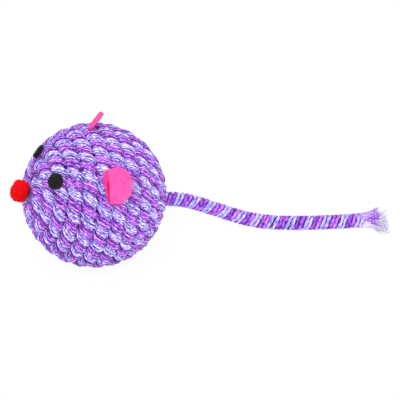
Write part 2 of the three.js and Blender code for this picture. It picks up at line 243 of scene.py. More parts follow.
# Materials
def newMaterial(name, roughness, sheen=0.0, sheenTint=(1, 1, 1), shine=0.5):
    material = bpy.data.materials.new(name)
    material.use_nodes = True
    tree = material.node_tree
    shader = tree.nodes["Principled BSDF"]
    shader.inputs["Roughness"].default_value = roughness
    shader.inputs["Specular IOR Level"].default_value = shine
    shader.inputs["Sheen Weight"].default_value = sheen
    shader.inputs["Sheen Tint"].default_value = (*sheenTint, 1)
    return material, tree, shader


def fromScreen(shade):
    return (*Color([value / 255 for value in shade]).from_srgb_to_scene_linear(), 1)


def ramp(tree, factor, positions, shades):
    colour = addNode(tree, "ShaderNodeValToRGB", Fac=factor)["Color"]
    elements = colour.node.color_ramp.elements
    while len(elements) < len(shades):
        elements.new(0.5)
    for element, position, shade in zip(elements, positions, shades):
        element.position = position
        element.color = fromScreen(shade)
    return colour


def attribute(tree, name):
    return addNode(tree, "ShaderNodeAttribute", attribute_name=name)["Fac"]


# A shader group that gives a tone for the colour and a height for the bump
def newPattern(name, *inputs):
    return newTree(name, "ShaderNodeTree", {"Float": ["Tone", "Height"]}, {"Float": inputs})


# The plies of a yarn, its uneven dye and its flecks, counted along its length, and the painted shade on
# its plies and in the grooves between yarns
plies = {
    "count": 3,
    "turnLength": 1.2 * mm,
    "dye": {"perMetre": 330, "apart": 3.7, "detail": 2},
    "fleck": {"perMetre": 1900, "around": 1.2, "apart": 9.3, "detail": 1},
    "tone": 0.38,
    "plyRidgeShade": 0.2,
    # Painted shade in the grooves between yarns, set by how low the yarn lies over the course
    "groove": {"From Min": 0.97, "From Max": 0.55, "To Min": 0, "To Max": 0.8},
}


# Reads the yarn's own attributes, so that the pattern follows the yarn
def makePlyGroup():
    group, given = newPattern("yarnPlies", "Streak", "Fleck", "Pairs")
    along, yarn, rise = attribute(group, "along"), attribute(group, "yarn"), attribute(group, "rise")
    turnSin, turnCos = attribute(group, "turnSin"), attribute(group, "turnCos")

    def patches(x, y, z, detail, strength, tone):
        patch = calc("SUBTRACT", noiseAt(combined(x, y, z), 1, detail), 0.5)
        return calc("MULTIPLY_ADD", patch, calc("MULTIPLY", strength, 2), tone)

    lay = calc("MULTIPLY", calc("DIVIDE", along, plies["turnLength"]), fullTurn)
    angle = calc("MULTIPLY", calc("ARCTAN2", turnSin, turnCos), plies["count"])
    height = calc("MULTIPLY_ADD", calc("SINE", calc("ADD", angle, lay)), 0.5, 0.5)
    dye, fleck = plies["dye"], plies["fleck"]
    tone = patches(calc("MULTIPLY", along, dye["perMetre"]),
                   calc("MULTIPLY", yarn, dye["apart"]), 0.0,
                   dye["detail"], given["Streak"], plies["tone"])
    # Painted shade: lighter on the plies' ridges, darker in the furrows between them
    tone = calc("MULTIPLY_ADD", height, plies["plyRidgeShade"], tone)
    yarnApart = calc("MULTIPLY", yarn, fleck["apart"])
    tone = patches(calc("MULTIPLY", along, fleck["perMetre"]),
                   calc("MULTIPLY", turnSin, fleck["around"]),
                   calc("MULTIPLY_ADD", turnCos, fleck["around"], yarnApart),
                   fleck["detail"], given["Fleck"], tone)
    # Painted shade: darker where the yarn's surface lies low, in the grooves between yarns
    grooveShade = addNode(group, "ShaderNodeMapRange", plies["groove"], Value=rise)[0]
    tone = calc("SUBTRACT", tone, grooveShade)
    odd = calc("SUBTRACT", calc("MODULO", yarn, 2), 0.5)
    tone = calc("MULTIPLY_ADD", odd, given["Pairs"], tone)
    addNode(group, "NodeGroupOutput", Tone=tone, Height=height)
    return group


# Pressed fibres and the broader clouds in them
fibres = {
    "fineDetail": 3,
    "distortion": 1.2,
    "fineShare": 0.6,
    "cloudScale": 0.16,
    "cloudDetail": 2,
    "cloudShare": 0.4,
}


def makeFeltGroup():
    group, given = newPattern("feltFibres", "Fibre")
    place = addNode(group, "ShaderNodeTexCoord")["Object"]
    fine = noiseAt(place, given["Fibre"], fibres["fineDetail"], fibres["distortion"])
    cloudScale = calc("MULTIPLY", given["Fibre"], fibres["cloudScale"])
    cloud = noiseAt(place, cloudScale, fibres["cloudDetail"])
    tone = calc("ADD", calc("MULTIPLY", fine, fibres["fineShare"]),
                calc("MULTIPLY", cloud, fibres["cloudShare"]))
    addNode(group, "NodeGroupOutput", Tone=tone, Height=fine)
    return group


# Yarns: what they share, and the shades of each as on a screen, from the painted shade of the grooves to
# the brightest fleck
yarnShared = {
    "group": makePlyGroup(),
    "stops": (0.0, 0.24, 0.5, 0.85),
    "roughness": 0.72,
    "sheen": 0.2,
    "shine": 0.3,
    "bump": 0.5,
    "deep": 0.12 * mm,
}
yarnLooks = {
    "lavenderYarn": {
        "shades": [(92, 58, 162), (148, 124, 220), (192, 182, 250), (238, 232, 255)],
        "Streak": 0.3, "Fleck": 1.35, "Pairs": 0.1, "sheenTint": (0.9, 0.9, 1)},
    "tailLavender": {
        "shades": [(64, 40, 124), (136, 116, 210), (178, 166, 242), (214, 206, 254)],
        "Streak": 0.3, "Fleck": 0.8, "Pairs": 0.06, "sheenTint": (0.9, 0.9, 1)},
    "purpleYarn": {
        "shades": [(56, 10, 104), (126, 40, 190), (178, 92, 226), (240, 180, 250)],
        "Streak": 0.45, "Fleck": 1.05, "Pairs": 0.2, "sheenTint": (1, 0.8, 1)},
    "tailPurple": {
        "shades": [(46, 8, 96), (116, 38, 182), (164, 82, 220), (200, 132, 242)],
        "Streak": 0.45, "Fleck": 0.85, "Pairs": 0.12, "sheenTint": (1, 0.8, 1)},
}

# Felt and the like, and the painted shade that felt takes along its crease; then plastic and glue, dark
# violet as the rope is in shade, painted shade in the gaps
grainShared = {
    "group": makeFeltGroup(),
    "stops": (0.3, 0.7),
    "roughness": 0.95,
    "sheen": 0.05,
    "shine": 0.08,
    "bump": 0.6,
    "deep": 0.15 * mm,
}
grainLooks = {
    "pinkFelt": {"shades": [(216, 44, 132), (255, 106, 184)], "Fibre": 1500, "creased": (196, 0, 74)},
    "blackFelt": {"shades": [(10, 8, 10), (40, 37, 39)], "Fibre": 2300},
    "redPile": {"shades": [(246, 0, 4), (255, 4, 20)], "Fibre": 1500},
    "whiteFibre": {"shades": [(190, 180, 214), (230, 224, 242)], "Fibre": 1600},
    "driedLeaf": {"shades": [(84, 92, 50), (150, 152, 96)], "Fibre": 900, "sheen": 0.0},
    # The core is off-white plastic, painted dark violet: painted shade where it shows between the turns
    "paintedShadePlastic": {
        "shades": [(80, 46, 134), (96, 58, 152)], "Fibre": 1300,
        "roughness": 0.5, "sheen": 0.0, "shine": 0.5, "bump": 0.15, "deep": 0.05 * mm},
    # Violet hot-melt in the rope's shade colour: partly the glue's own tint, partly painted shade
    "hotMelt": {
        "shades": [(92, 60, 156), (116, 84, 180)], "Fibre": 500,
        "roughness": 0.55, "sheen": 0.0, "shine": 0.5, "bump": 0.3, "deep": 0.1 * mm},
}


def makeFinish(name, group, stops, shades, roughness, sheen, shine, bump, deep,
               sheenTint=(1, 1, 1), creased=None, **inputs):
    material, tree, shader = newMaterial(name, roughness, sheen, sheenTint, shine)
    pattern = addNode(tree, "ShaderNodeGroup", node_tree=group, **inputs)
    colour = ramp(tree, pattern["Tone"], stops, shades)
    # Painted shade: the crease colour, mixed in by the felt's fold layer
    if creased:
        wires = {0: attribute(tree, "fold"), 6: colour, 7: fromScreen(creased)}
        colour = addNode(tree, "ShaderNodeMix", wires, data_type="RGBA")[2]
    normal = addNode(tree, "ShaderNodeBump", Height=pattern["Height"], Strength=bump, Distance=deep)[0]
    tree.links.new(colour, shader.inputs["Base Color"])
    tree.links.new(normal, shader.inputs["Normal"])
    return material


finishes = {name: makeFinish(name, **{**shared, **look})
            for shared, looks in ((yarnShared, yarnLooks), (grainShared, grainLooks))
            for name, look in looks.items()}
# The core takes the dark violet plastic, painted shade for the gaps between the turns
for name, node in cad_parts.items():
    if name.startswith("core_"):
        node.data.materials.clear()
        node.data.materials.append(finishes["paintedShadePlastic"])
print("materials made")


# Lines for yarns to follow
def headingAt(points, i):
    return (points[min(i + 1, len(points) - 1)] - points[max(i - 1, 0)]).normalized()


def lengthsAlong(points):
    lengths = [0.0]
    for before, after in zip(points, points[1:]):
        lengths.append(lengths[-1] + (after - before).length)
    return lengths


def evenly(points, step):
    lengths = lengthsAlong(points)
    count = max(2, round(lengths[-1] / step))
    spread, at = [], 0
    for k in range(count + 1):
        want = lengths[-1] * k / count
        while at < len(points) - 2 and lengths[at + 1] < want:
            at += 1
        share = (want - lengths[at]) / (lengths[at + 1] - lengths[at])
        spread.append(points[at].lerp(points[at + 1], share))
    return spread


def setValues(mesh, **values):
    for label, numbers in values.items():
        mesh.attributes.new(label, "FLOAT", "POINT").data.foreach_set("value", numbers)


# A course for yarns: a line of points with its frame, its length, and how far its twist has turned
def makeCourse(name, points, frames, twists, girths):
    lengths, turned = lengthsAlong(points), [0.0]
    for before, after, twist in zip(points, points[1:], twists):
        turned.append(turned[-1] + (after - before).length / twist)
    mesh = bpy.data.meshes.new(name)
    mesh.from_pydata(points, [(i, i + 1) for i in range(len(points) - 1)], [])
    setValues(mesh, along=lengths, turned=turned, girth=girths)
    for label, vectors in zip(("side", "up"), frames):
        flat = [number for vector in vectors for number in vector]
        mesh.attributes.new(label, "FLOAT_VECTOR", "POINT").data.foreach_set("vector", flat)
    return newObject(name, mesh), lengths[-1]


# Yarns laid round a course: one or two lays of some yarns each, plump in the middle of a lay
yarnLay = {"unevenPerMetre": 330, "unevenApart": 7.3, "unevenRise": 0.5, "nudge": 0.01}


def makeYarnTree():
    tree, given = newGeometryTree(
        "twistedYarns", Int=["Lays", "Yarns", "Sides"], Material=["Material", "Second"],
        Float=["Phase", "Span", "Radius", "Drop", "Yarn", "Uneven", "From", "To"])
    along = named(tree, "along")
    outside = calc("MAXIMUM", calc("LESS_THAN", along, given["From"]),
                   calc("GREATER_THAN", along, given["To"]))
    line = changed(given["Geometry"], "MeshToCurve")
    line = changed(line, "DeleteGeometry", Selection=outside, domain="POINT")
    copies = addNode(tree, "GeometryNodeDuplicateElements", Geometry=line, domain="SPLINE",
                     Amount=calc("MULTIPLY", given["Lays"], given["Yarns"]))

    # Which lay a yarn is in, and how far from the middle of it
    index = copies["Duplicate Index"]
    justOver = calc("ADD", index, yarnLay["nudge"])
    lay = calc("FLOOR", calc("DIVIDE", justOver, given["Yarns"]))
    within = calc("SUBTRACT", index, calc("MULTIPLY", lay, given["Yarns"]))
    middle = calc("MULTIPLY", calc("SUBTRACT", given["Yarns"], 1), 0.5)
    fromMiddle = calc("SUBTRACT", within, middle)

    # Its angle round the course and its distance from it
    spot = combined(calc("MULTIPLY", along, yarnLay["unevenPerMetre"]),
                    calc("MULTIPLY_ADD", index, yarnLay["unevenApart"], given["Phase"]))
    uneven = calc("SUBTRACT", noiseAt(spot, 1, 1), 0.5)
    astray = calc("MULTIPLY", uneven, given["Uneven"])
    spin = calc("MULTIPLY", named(tree, "turned"), -fullTurn)
    angle = calc("MULTIPLY_ADD", fromMiddle, given["Span"], spin)
    angle = calc("ADD", calc("MULTIPLY_ADD", lay, pi, angle), given["Phase"])
    angle = calc("MULTIPLY_ADD", astray, given["Span"], angle)
    edge = calc("POWER", calc("ABSOLUTE", calc("DIVIDE", fromMiddle, middle)), 2)
    reach = calc("SUBTRACT", given["Radius"], calc("MULTIPLY", edge, given["Drop"]))
    unevenRise = calc("MULTIPLY", given["Yarn"], yarnLay["unevenRise"])
    reach = calc("MULTIPLY_ADD", astray, unevenRise, reach)
    reach = calc("MULTIPLY", reach, named(tree, "girth"))
    offset = vectorCalc("ADD", *[
        vectorCalc("SCALE", named(tree, axis, "FLOAT_VECTOR"),
                   calc("MULTIPLY", reach, calc(wave, angle)))
        for axis, wave in (("side", "COSINE"), ("up", "SINE"))])
    place = addNode(tree, "GeometryNodeInputPosition")[0]
    wound = store(copies["Geometry"], "axisAt", place, "FLOAT_VECTOR")
    for label, value in (("yarn", index), ("lay", lay), ("reach", vectorCalc("LENGTH", offset))):
        wound = store(wound, label, value)
    wound = changed(wound, "SetPosition", Offset=offset)

    # Its tube, with the angle round the yarn, and the rise over the course that the material turns into
    # painted shade in the grooves
    turn = calc("MULTIPLY", addNode(tree, "GeometryNodeSplineParameter")["Factor"], fullTurn)
    ring = ringCurve(given["Sides"], given["Yarn"])
    for label, wave in (("turnSin", "SINE"), ("turnCos", "COSINE")):
        ring = store(ring, label, calc(wave, turn))
    fromAxis = vectorCalc("SUBTRACT", place, named(tree, "axisAt", "FLOAT_VECTOR"))
    above = calc("SUBTRACT", vectorCalc("LENGTH", fromAxis), named(tree, "reach"))
    rise = calc("MULTIPLY_ADD", calc("DIVIDE", above, given["Yarn"]), 0.5, 0.5)
    made = store(tubesAlong(wound, ring), "rise", rise)
    for spent in ("axisAt", "reach", "side", "up", "turned", "girth"):
        made = changed(made, "RemoveAttribute", Name=spent)
    return endTree(made, given["Material"], given["Second"])


yarnTree = makeYarnTree()

# The tail: its distances on the ball's axis, then its points from the sway's pivot to the frayed end
tail = {
    "diameter": 5.6 * mm,
    "axisStart": 25.2 * mm,
    "exit": 27.5 * mm,
    "swayFrom": 29 * mm,
    "axisPoint": 31 * mm,
    "pivot": 34.935 * mm,
    "route": [
        (3, -0.1, 14.4), (6, -0.45, 12.9), (9, -1.05, 11.4), (12, -1.8, 9.9), (15, -2.65, 8.5),
        (18, -3.55, 7.1), (21, -4.5, 5.8), (24, -5.5, 4.7), (27.5, -6.7, 3.8), (31, -7.9, 3.2),
        (34.5, -9.1, 3), (38, -10.2, 2.9), (42, -11.3, 2.9), (46, -12.3, 2.9), (50, -13.2, 2.9),
        (54, -14.05, 2.9), (58, -14.8, 2.9), (62, -15.5, 2.9), (66, -16.2, 2.9), (69.5, -16.8, 2.9)],
    "swayEnd": 1,  # which of the route's points
    "liftAt": 12,
    "liftReach": (6 * mm, -1.5 * mm, 0),
    "seamAt": 0.47,  # share of the length where the two cords meet
    "step": 0.3 * mm,
    "twist": 6.7 * mm,
    "yarns": {"Lays": 2, "Yarns": 2, "Span": radians(90), "Radius": 2.1 * mm, "Drop": 0.0,
              "Yarn": 0.8 * mm, "Uneven": 0.7, "Sides": 8,
              "Material": finishes["tailPurple"], "Second": finishes["tailLavender"]},
}


# A frame along a line that doesn't spin
def carriedFrame(points, firstSide):
    sides, ups = [], []
    side = Vector(firstSide)
    for i in range(len(points)):
        heading = headingAt(points, i)
        side = (side - heading * side.dot(heading)).normalized()
        sides.append(side)
        ups.append(heading.cross(side))
    return sides, ups


def throughPoints(points, steps=12):
    smooth = []
    for i in range(len(points) - 1):
        before, start = points[max(i - 1, 0)], points[i]
        end, after = points[i + 1], points[min(i + 2, len(points) - 1)]
        for k in range(steps):
            share = k / steps
            smooth.append(0.5 * (2 * start + (end - before) * share
                                 + (2 * before - 5 * start + 4 * end - after) * share ** 2
                                 + (3 * start - before - 3 * end + after) * share ** 3))
    return [*smooth, points[-1]]


def onTailAxis(distance):
    return ballPlace @ Vector((distance, 0, 0))


tailPivot = onTailAxis(tail["pivot"])
tailRoute = [Vector((tailPivot.x + x * mm, y * mm, height * mm)) for x, y, height in tail["route"]]
tailAxis = [onTailAxis(tail[name]) for name in ("axisStart", "exit", "axisPoint", "pivot")]
tailLine = evenly(throughPoints(tailAxis + tailRoute), tail["step"])


def makeTail():
    count = len(tailLine)
    seam = round(count * tail["seamAt"])
    pieces = []
    for name, first, last in (("tail_root_rope", 0, seam), ("tail_tip_rope", seam, count - 1)):
        frames = carriedFrame(tailLine, (0, 0, 1))
        course, length = makeCourse("tailCourse", tailLine, frames, [tail["twist"]] * count, [1.0] * count)
        step = length / (count - 1)
        ends = {"From": (first - 0.5) * step, "To": (last + 0.5) * step}
        pieces.append(runTree(name, course, yarnTree, {**tail["yarns"], **ends}))
    return *pieces, tailLine[: seam + 1], tailLine[seam:]


rootRope, tipRope, rootPath, tipPath = makeTail()
print("tail made")

# The winding: out of the core at the nose, turn by turn to the tail, and out along the axis
winding = {
    "bendHandle": 3.4 * mm,
    "bendRise": 2.6 * mm,
    "tailRise": 1.5 * mm,
    "coreRadius": 22.47 * mm,
    "stepsPerTurn": 180,
    "step": 0.66 * mm,
    "thinEnd": 0.55,
    "thinSteps": 8,
    "twist": 7.7 * mm,
    "twistSwing": 1.4 * mm,
    "swingPace": 0.02,
    "swingSeed": 3.1,
    "facing": 0.6,
    "rise": 0.9,
    "spread": 1.13,
    "rests": 0.1 * mm,
    "yarns": {"Lays": 1, "Yarns": 5, "Span": radians(35), "Radius": 2.5 * mm, "Drop": 0.75 * mm,
              "Yarn": 0.44 * mm, "Uneven": 1.2, "Sides": 8},
    "lays": {"rope_lavender_yarns": {"phase": 0.0, "finish": "lavenderYarn"},
             "rope_purple_yarns": {"phase": pi, "finish": "purpleYarn"}},
}


def bezier(start, leave, arrive, end, steps=40):
    return [start * (1 - t) ** 3 + leave * 3 * t * (1 - t) ** 2
            + arrive * 3 * t ** 2 * (1 - t) + end * t ** 3
            for t in (k / steps for k in range(1, steps + 1))]


def ropeLine():
    points = []
    for k in range(turns["count"] * winding["stepsPerTurn"] + 1):
        turn = k / winding["stepsPerTurn"]
        azimuth = pi - fullTurn * (turn - turns["lowest"])
        points.append(onBall(turns["first"] + turns["apart"] * turn, azimuth, windRadius))

    def endBend(last, before, axis, target, rise):
        handle = last + (last - before).normalized() * winding["bendHandle"]
        return bezier(last, handle, axis * (target + rise), axis * target)

    rise, tailEnd = winding["bendRise"], windRadius + winding["tailRise"]
    front = endBend(points[0], points[1], Vector((-1, 0, 0)), winding["coreRadius"], rise)
    rear = endBend(points[-1], points[-2], Vector((1, 0, 0)), tailEnd, -rise)
    return [ballPlace @ point for point in [*reversed(front), *points, *rear]]


# A frame whose side faces away from the ball's centre, carried on where the line itself runs that way
def facingFrame(points):
    sides, ups = [None] * len(points), [None] * len(points)
    middle = len(points) // 2
    for course in (range(middle, len(points)), range(middle, -1, -1)):
        side = points[middle] - ballCentre
        for i in course:
            heading = headingAt(points, i)
            away = (points[i] - ballCentre).normalized()
            facing = away - heading * away.dot(heading)
            if facing.length > winding["facing"]:
                side = facing
            side = (side - heading * side.dot(heading)).normalized()
            sides[i] = side * winding["rise"]
            ups[i] = heading.cross(side) * winding["spread"]
    return sides, ups


def makeWinding():
    line = evenly(ropeLine(), winding["step"])
    count = len(line)
    twists, girths = [], []
    for i in range(count):
        swing = noise.noise(Vector((i * winding["swingPace"], winding["swingSeed"], 0)))
        twists.append(winding["twist"] + winding["twistSwing"] * swing)
        fromEnd = min(i, count - 1 - i) / winding["thinSteps"]
        girths.append(min(1.0, winding["thinEnd"] + (1 - winding["thinEnd"]) * fromEnd))
    pieces = []
    for name, lay in winding["lays"].items():
        course, length = makeCourse("ropeCourse", line, facingFrame(line), twists, girths)
        finish = finishes[lay["finish"]]
        piece = runTree(name, course, yarnTree, {
            **winding["yarns"], "Phase": lay["phase"], "From": -1.0, "To": length + 1,
            "Material": finish, "Second": finish})
        for vertex in piece.data.vertices:
            vertex.co.z = max(vertex.co.z, winding["rests"])
        pieces.append(piece)
    return pieces


lavenderRope, purpleRope = makeWinding()
print("winding made")

# Fuzz: fibres or flakes standing on a surface, with or without the surface itself
fuzz = {"sides": 3, "shortest": 0.55, "longest": 1.25, "seed": 5}


def makeFuzzTree():
    tree, given = newGeometryTree(
        "surfaceFuzz", Int=["Seed"], Bool=["Base"], Material=["Material"],
        Float=["Density", "Length", "Thickness", "Flat", "Tilt"])
    surface, tilt, seed = given["Geometry"], given["Tilt"], given["Seed"]
    spots = addNode(tree, "GeometryNodeDistributePointsOnFaces", Mesh=surface, Density=given["Density"],
                    Seed=seed, distribute_method="RANDOM")
    backTilt = calc("MULTIPLY", tilt, -1)
    wires = {0: combined(backTilt, backTilt), 1: combined(tilt, tilt, fullTurn)}
    lean = addNode(tree, "FunctionNodeRandomValue", wires, Seed=seed, data_type="FLOAT_VECTOR")[0]
    leaning = addNode(tree, "FunctionNodeEulerToRotation", {0: lean})[0]
    wires = {"Rotation": spots["Rotation"], "Rotate By": leaning}
    turned = addNode(tree, "FunctionNodeRotateRotation", wires, rotation_space="LOCAL")[0]
    wires = {2: fuzz["shortest"], 3: fuzz["longest"]}
    size = addNode(tree, "FunctionNodeRandomValue", wires, Seed=fuzz["seed"], data_type="FLOAT")[1]
    wires = {"Radius Top": 0.0, "Radius Bottom": given["Thickness"]}
    fibre = addNode(tree, "GeometryNodeMeshCone", wires, Vertices=fuzz["sides"], Depth=given["Length"])[0]
    standing = changed(spots["Points"], "InstanceOnPoints", Instance=fibre, Rotation=turned,
                       Scale=combined(1.0, given["Flat"], size))
    whole = changed(surface, "JoinGeometry")
    tree.links.new(standing, whole.node.inputs[0])
    wires = {"False": standing, "True": whole}
    chosen = addNode(tree, "GeometryNodeSwitch", wires, Switch=given["Base"], input_type="GEOMETRY")[0]
    return endTree(chosen, given["Material"])


fuzzTree = makeFuzzTree()


def finishMesh(name, made):
    bmesh.ops.recalc_face_normals(made, faces=made.faces)
    for face in made.faces:
        face.smooth = True
    mesh = bpy.data.meshes.new(name)
    made.to_mesh(mesh)
    made.free()
    return newObject(name, mesh)


# A closed round form from rings: each ring is its radius and its height
def ringMesh(name, rings, sides, place, shape):
    made = bmesh.new()
    loops = []
    for radius, height in rings:
        loop = []
        for k in range(sides if radius > 0 else 1):
            angle = fullTurn * k / sides
            point = Vector((radius * cos(angle), radius * sin(angle), height))
            loop.append(made.verts.new(place @ shape(point)))
        loops.append(loop)
    for lower, upper in zip(loops, loops[1:]):
        for k in range(sides):
            ends = [lower[k % len(lower)], lower[(k + 1) % len(lower)],
                    upper[(k + 1) % len(upper)], upper[k % len(upper)]]
            made.faces.new(list(dict.fromkeys(ends)))
    return finishMesh(name, made)


# The rings of a ball of radius 1, closed at both poles
def ballRings(steps):
    angles = [pi * (k / steps - 0.5) for k in range(1, steps)]
    return [(0, -1), *[(cos(angle), sin(angle)) for angle in angles], (0, 1)]


# The hot-melt under a stuck piece: one bead, low between the turns of the rope, dark violet as the rope in
# shade: part glue, part painted shade
meltGrid = {"rings": 12, "sides": 28, "earSides": 16}


def makeMelt(name, place, sides, shape):
    made = ringMesh(name, ballRings(meltGrid["rings"]), sides, place, shape)
    made.data.materials.append(finishes["hotMelt"])
    return made


def makeFlatMelt(name, place, melt):
    def flatten(point):
        height = point.z * melt["high"] - melt["low"]
        return Vector((point.x * melt["half"], point.y * melt["half"], height))

    return makeMelt(name, place, meltGrid["sides"], flatten)


# The nose: a pom-pom, squarish from the side and round from above, pressed onto the rope
nose = {
    "across": 3.55 * mm,
    "along": 2.55 * mm,
    "centre": 2.8 * mm,
    "lean": 5,
    "square": 4.0,
    "soft": 2.2,
    "lump": 0.22 * mm,
    "lumpPace": 2.3,
    "rings": 22,
    "sides": 44,
    "pile": {"Density": 2.6e7, "Seed": 4, "Length": 0.85 * mm, "Thickness": 0.13 * mm, "Flat": 1.0,
             "Tilt": 0.75, "Base": True, "Material": finishes["redPile"]},
    "melt": {"half": 5.0 * mm, "high": 2.6 * mm, "low": 3.1 * mm},
}


def makeNose():
    square, soft, across = nose["square"], nose["soft"], nose["across"]

    def plump(point):
        upright = (abs(point.x) ** square + abs(point.z) ** square) ** (1 / square)
        bulge = (upright ** soft + abs(point.y) ** soft) ** (-1 / soft)
        lump = 1 + nose["lump"] / across * noise.noise(point * nose["lumpPace"])
        point = point * bulge * lump
        return Vector((point.x * across, point.y * across, point.z * nose["along"]))

    place = seatOn(0, 0) @ Matrix.Translation((0, 0, nose["centre"])) @ turnedBy(nose["lean"], "Y")
    form = ringMesh("noseForm", ballRings(nose["rings"]), nose["sides"], place, plump)
    return runTree("nose_pompom_pile", form, fuzzTree, nose["pile"])


nosePompom = makeNose()
# A dome of hot-melt fills the dark well beside the nose; its dark violet is painted shade
noseMelt = makeFlatMelt("nose_bead", seatOn(0, 0), nose["melt"])
print("nose made")

# The eyes: felt discs with a soft rim
eyes = {
    "radius": 3.1 * mm,
    "top": 1.75 * mm,
    "under": 0.2 * mm,
    "underShare": 0.97,
    "edge": 0.3 * mm,
    "rim": 0.4 * mm,
    "rimSteps": 4,
    "crown": 0.18 * mm,
    "crownShares": (0.6, 0.3, 0),
    "uneven": 0.02,
    "unevenPace": 900,
    "sides": 40,
    "places": {"eye_left": {"polar": 37.5, "azimuth": -30.4, "tilt": 0, "share": 1.0},
               "eye_right": {"polar": 33, "azimuth": 42.5, "tilt": -15, "share": 0.88}},
    "fuzz": {"Density": 9e6, "Length": 0.4 * mm, "Thickness": 0.035 * mm, "Flat": 1.0, "Tilt": 1.25,
             "Base": True, "Material": finishes["blackFelt"]},
    "melt": {"half": 1.9 * mm, "high": 0.75 * mm, "low": 0.35 * mm},
}


def eyeRings():
    radius, rim, under = eyes["radius"], eyes["rim"], eyes["under"]
    shoulder = eyes["top"] - eyes["crown"]
    rings = [(0, under), (radius * eyes["underShare"], under), (radius, under + eyes["edge"])]
    for k in range(eyes["rimSteps"] + 1):
        angle = pi / 2 * k / eyes["rimSteps"]
        rings.append((radius - rim * (1 - cos(angle)), shoulder - rim * (1 - sin(angle))))
    for share in eyes["crownShares"]:
        rings.append((radius * share, eyes["top"] - eyes["crown"] * share ** 2))
    return rings


def makeEye(name, polar, azimuth, tilt, share, seed):
    def uneven(point):
        return point * (1 + eyes["uneven"] * noise.noise(point * eyes["unevenPace"]))

    seat = seatOn(radians(polar), radians(azimuth))
    melt = makeFlatMelt(name + "_bead", seat, eyes["melt"])
    place = seat @ turnedBy(tilt, "X") @ Matrix.Diagonal((share, share, 1, 1))
    form = ringMesh("eyeForm", eyeRings(), eyes["sides"], place, uneven)
    disc = runTree(name + "_felt", form, fuzzTree, {**eyes["fuzz"], "Seed": seed})
    return {"disc": disc, "melt": melt}


eyePieces = {name: makeEye(name, seed=seed, **spot)
             for seed, (name, spot) in enumerate(eyes["places"].items())}
print("eyes made")

# The ears: one piece of felt each, a tab stuck down, a crease, and a D-shaped flap
ears = {
    "thickness": 1.4 * mm,
    "crease": 1.7 * mm,  # its height over the rope
    "half": 6.95 * mm,
    "widestAt": 3.8 * mm,
    "length": 9.5 * mm,
    "roundness": 2.1,
    "tabMiddle": -1.65 * mm,
    "corner": 1.7 * mm,
    "taper": 2.0 * mm,
    "bend": 0.75 * mm,  # half of the felt that curves at the crease
    "bendStep": 0.02 * mm,
    "settles": 1.6,  # how soon the tab lies on the rope
    "rim": 0.55 * mm,
    "cup": 0.5 * mm,
    "lump": {"size": 0.09 * mm, "pace": 420, "seed": 0},
    "wave": {"size": 0.12 * mm, "pace": 260, "seed": 9},
    # Painted shade: darker along the crease and on the tab
    "shade": {"at": 0.3 * mm, "wide": 0.85 * mm, "firm": 1.7, "tab": 0.42},
    "fade": {"from": 0.15, "over": 0.45, "most": 0.8},  # of the crease's painted shade, towards the crown
    "polar": 72,
    "places": {
        "ear_left": {
            "azimuth": -38.2, "shift": 2.1 * mm, "turn": 2, "lean": 56, "share": 1.0,
            "foldHalf": 6.3 * mm, "tab": 1.9 * mm, "cut": 0.85, "sink": 0.35 * mm, "deep": 0.0},
        "ear_right": {
            "azimuth": 29.5, "shift": 2.65 * mm, "turn": -33, "lean": 43, "share": 0.73,
            "foldHalf": 4.6 * mm, "tab": 3.3 * mm, "cut": 0.0, "sink": 2.6 * mm, "deep": 1.5 * mm}},
    "rows": {"corner": 6, "foldFrom": -1.6, "foldStep": 0.2, "fold": 18, "foldGap": 0.1 * mm,
             "flapFrom": 0.45, "flapStep": 0.11, "flap": 6, "flapGap": 0.2 * mm, "tip": 16},
    "columns": [0, 0.2, 0.4, 0.57, 0.7, 0.8, 0.87, 0.92, 0.955, 0.98, 0.994, 1],
    "weld": 0.001 * mm,
    "fuzz": {"Density": 7e6, "Length": 0.55 * mm, "Thickness": 0.035 * mm, "Flat": 1.0, "Tilt": 1.2,
             "Base": False, "Material": finishes["pinkFelt"]},
    "bead": {"at": 1.05 * mm, "half": 0.6 * mm, "high": 0.5 * mm, "short": 1.6 * mm, "under": 0.8},
}


# Half the ear's width at a distance from its crease, on the full-size ear
def earHalfWidth(along, spot):
    foldHalf, widestAt = spot["foldHalf"], ears["widestAt"]
    if along < 0:
        short = max(0.0, ears["corner"] - (along + spot["tab"]))
        return foldHalf - ears["taper"] * (1 - sqrt(1 - (short / ears["corner"]) ** 2))
    if along < widestAt:
        share = along / widestAt
        return foldHalf + (ears["half"] - foldHalf) * share * (2 - share)
    share = min((along - widestAt) / (ears["length"] - widestAt), 1)
    return ears["half"] * sqrt(1 - share ** ears["roundness"])


# Where the felt's rows of points lie, close together at the crease and at the rounded ends
def earRows(tab):
    rows, widestAt, corner = ears["rows"], ears["widestAt"], ears["corner"]
    tabRows = [-tab + corner * (1 - cos(pi / 2 * k / rows["corner"]))
               for k in range(rows["corner"] + 1)]
    foldRows = [(rows["foldFrom"] + rows["foldStep"] * k) * mm for k in range(rows["fold"])]
    foldRows = [row for row in foldRows if row > tabRows[-1] + rows["foldGap"]]
    flapRows = [widestAt * (rows["flapFrom"] + rows["flapStep"] * k) for k in range(rows["flap"])]
    flapRows = [row for row in flapRows if row > foldRows[-1] + rows["flapGap"]]
    tip = ears["length"] - widestAt
    tipRows = [widestAt + tip * sin(pi / 2 * k / rows["tip"]) for k in range(1, rows["tip"] + 1)]
    return [*tabRows, *foldRows, *flapRows, *tipRows]


# The felt's middle line: level along the tab, then turned up at the crease
def earProfile(rows, lean):
    def angleAt(along):
        share = clamped((along / ears["bend"] + 1) / 2)
        return (pi / 2 - lean) * share * share * (3 - 2 * share)

    places = {}
    for step in (ears["bendStep"], -ears["bendStep"]):
        x, z, along = 0.0, ears["crease"], 0.0
        for row in sorted((row for row in rows if row * step >= 0), key=abs):
            while abs(along) < abs(row):
                x += step * cos(angleAt(along))
                z += step * sin(angleAt(along))
                along += step
            places[row] = (x, z, angleAt(row))
    return places


